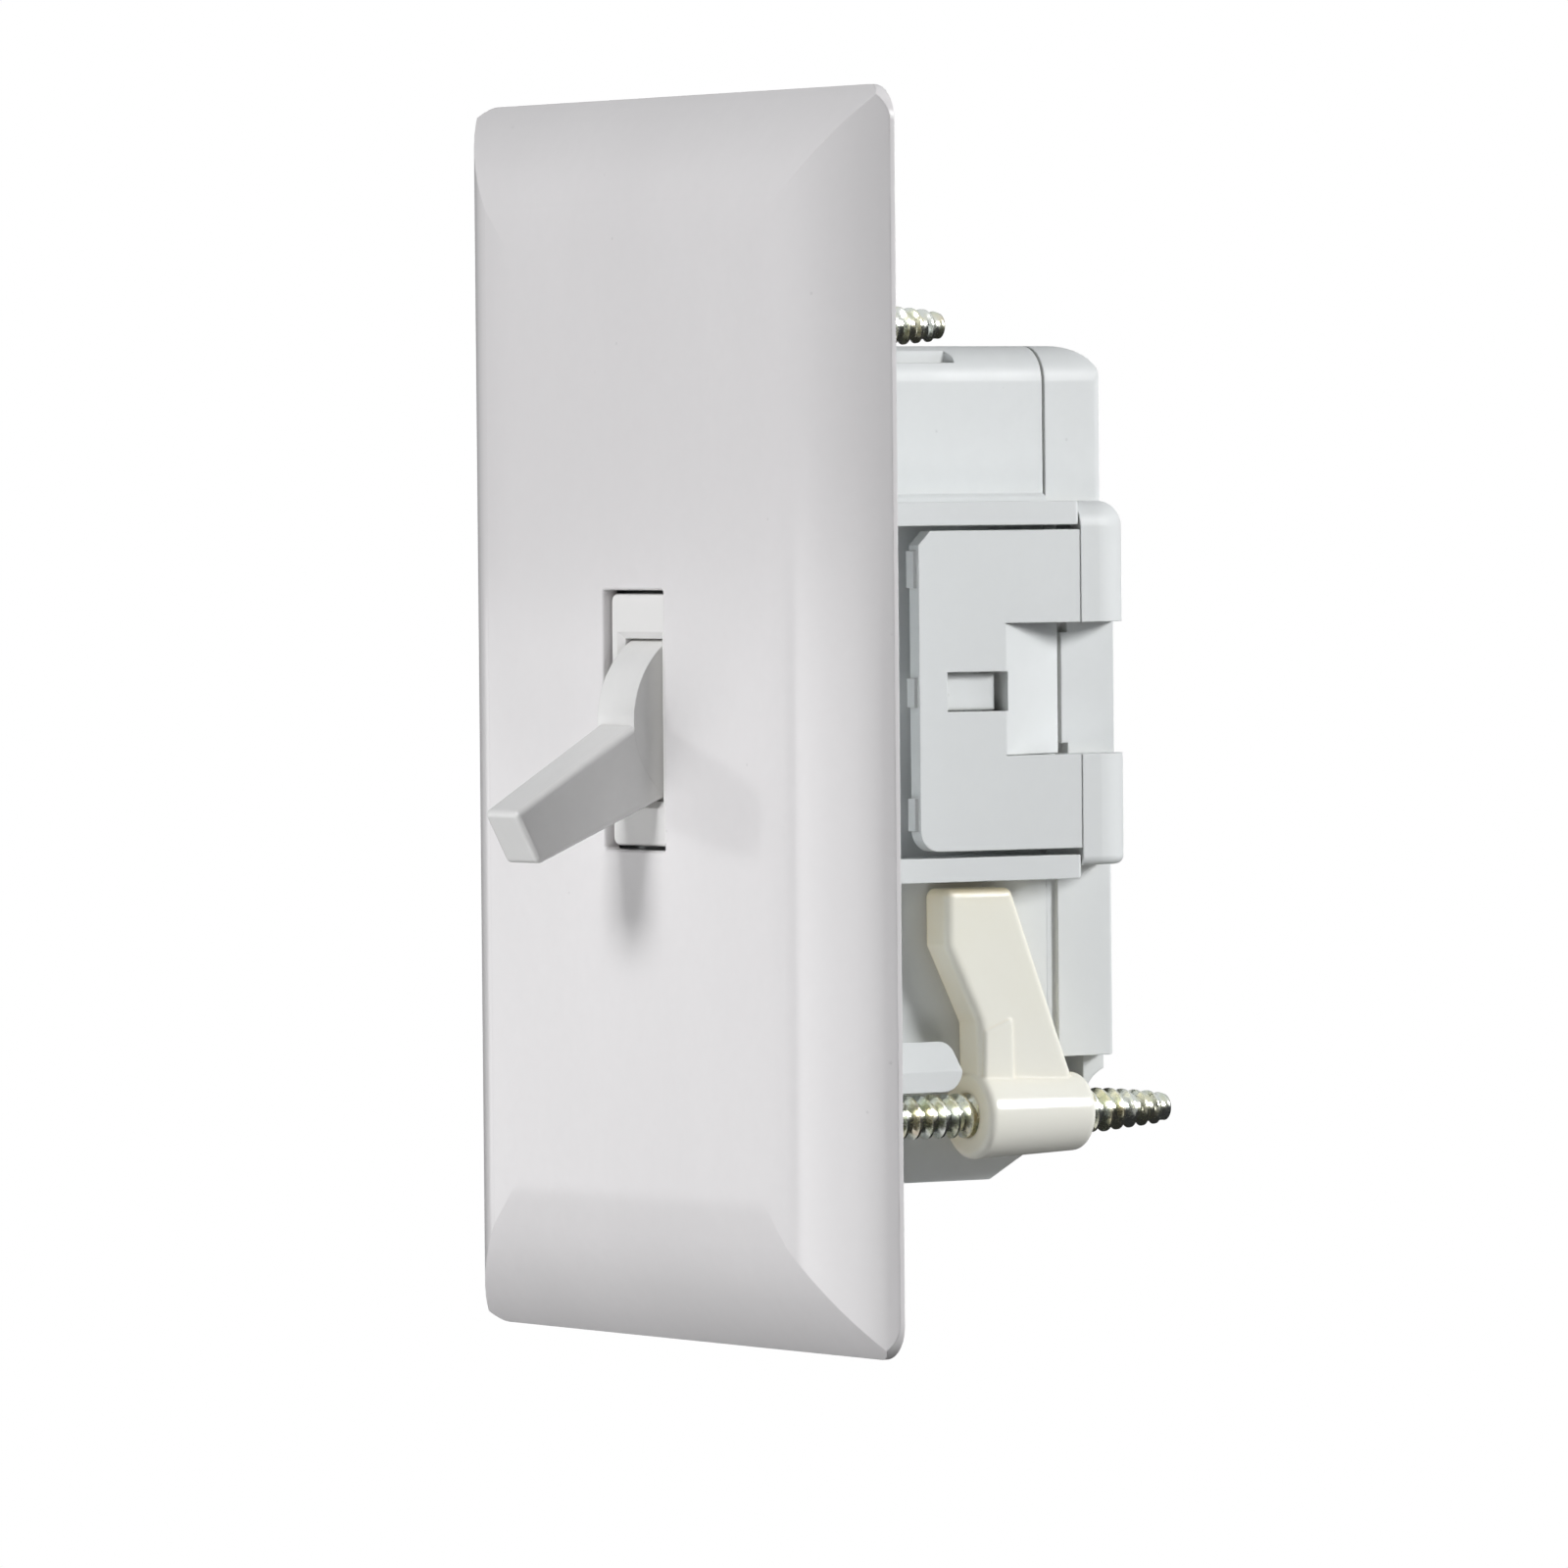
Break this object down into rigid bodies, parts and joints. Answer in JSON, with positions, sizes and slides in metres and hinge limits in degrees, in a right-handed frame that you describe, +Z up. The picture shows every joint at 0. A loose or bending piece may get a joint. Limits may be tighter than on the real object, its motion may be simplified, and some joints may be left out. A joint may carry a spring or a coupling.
{
  "type": "toggle switch",
  "caption": "Self-contained toggle wall switch: clip-on bevelled plate, latched rear cover, and two screw-driven swing clamps that grip a thin wall panel.",
  "frame": {"origin": "centre of the cover plate on the wall plane, which is the back of its rim", "axes": "+X to the right seen from the front, +Y into the wall, +Z up"},
  "size_m": [0.0698, 0.0604, 0.1142],
  "materials": {
    "plate_white": "glossy moulded",
    "housing_white": "satin moulded",
    "toggle_white": "glossy moulded",
    "natural_nylon": "translucent satin",
    "dark_phenolic": "moulded",
    "yellow_zinc": "yellow chromate",
    "bright_steel": "bright drawn",
    "brass": "stamped",
    "silver": "bright contact silver",
    "fibre": "vulcanised fibre"
  },
  "bodies": {
    "root": {"cover_plate": "plate_white", "front_housing": "housing_white", "rear_cover": "housing_white", "toggle_pivot_pin": "bright_steel", "rocker_pivot_pin": "bright_steel", "fixed_contact_button": "silver", "terminal_carrier": "dark_phenolic", "cable_grip": "bright_steel", "line_terminal": "brass", "load_terminal": "brass", "ground_terminal": "brass", "lower_retaining_washer": "fibre", "upper_retaining_washer": "fibre"},
    "toggle": {"toggle_lever": "toggle_white", "toggle_spring": "bright_steel", "spring_plunger": "natural_nylon"},
    "rocker": {"contact_rocker": "dark_phenolic", "moving_contact": "brass", "moving_contact_button": "silver"},
    "lower_screw": {"lower_mounting_screw": "yellow_zinc"},
    "lower_clamp": {"lower_wall_clamp": "natural_nylon"},
    "upper_screw": {"upper_mounting_screw": "yellow_zinc"},
    "upper_clamp": {"upper_wall_clamp": "natural_nylon"}
  },
  "joints": [
    {"name": "toggle_tip", "type": "hinge", "parent": "root", "child": "toggle", "pos_m": [0, 0.00094, 0], "axis": [-1, 0, 0], "range_deg": [0, 55]},
    {"name": "rocker_tip", "type": "hinge", "parent": "root", "child": "rocker", "pos_m": [0, 0.0125, 0], "axis": [1, 0, 0], "range_deg": [0, 18]},
    {"name": "lower_screw_turn", "type": "hinge", "parent": "root", "child": "lower_screw", "pos_m": [0.0182, 0, -0.0364], "axis": [0, 1, 0], "range_deg": [0, 90]},
    {"name": "lower_clamp_travel", "type": "slide", "parent": "lower_screw", "child": "lower_clamp", "axis": [0, 1, 0], "range_m": [-0.0115, 0.006]},
    {"name": "upper_screw_turn", "type": "hinge", "parent": "root", "child": "upper_screw", "pos_m": [-0.0182, 0, 0.0364], "axis": [0, 1, 0], "range_deg": [0, 90]},
    {"name": "upper_clamp_travel", "type": "slide", "parent": "upper_screw", "child": "upper_clamp", "axis": [0, 1, 0], "range_m": [-0.0115, 0.006]}
  ],
  "couplings": [
    {"joint": "rocker_tip", "follows": "toggle_tip", "ratio": 0.32727}
  ]
}
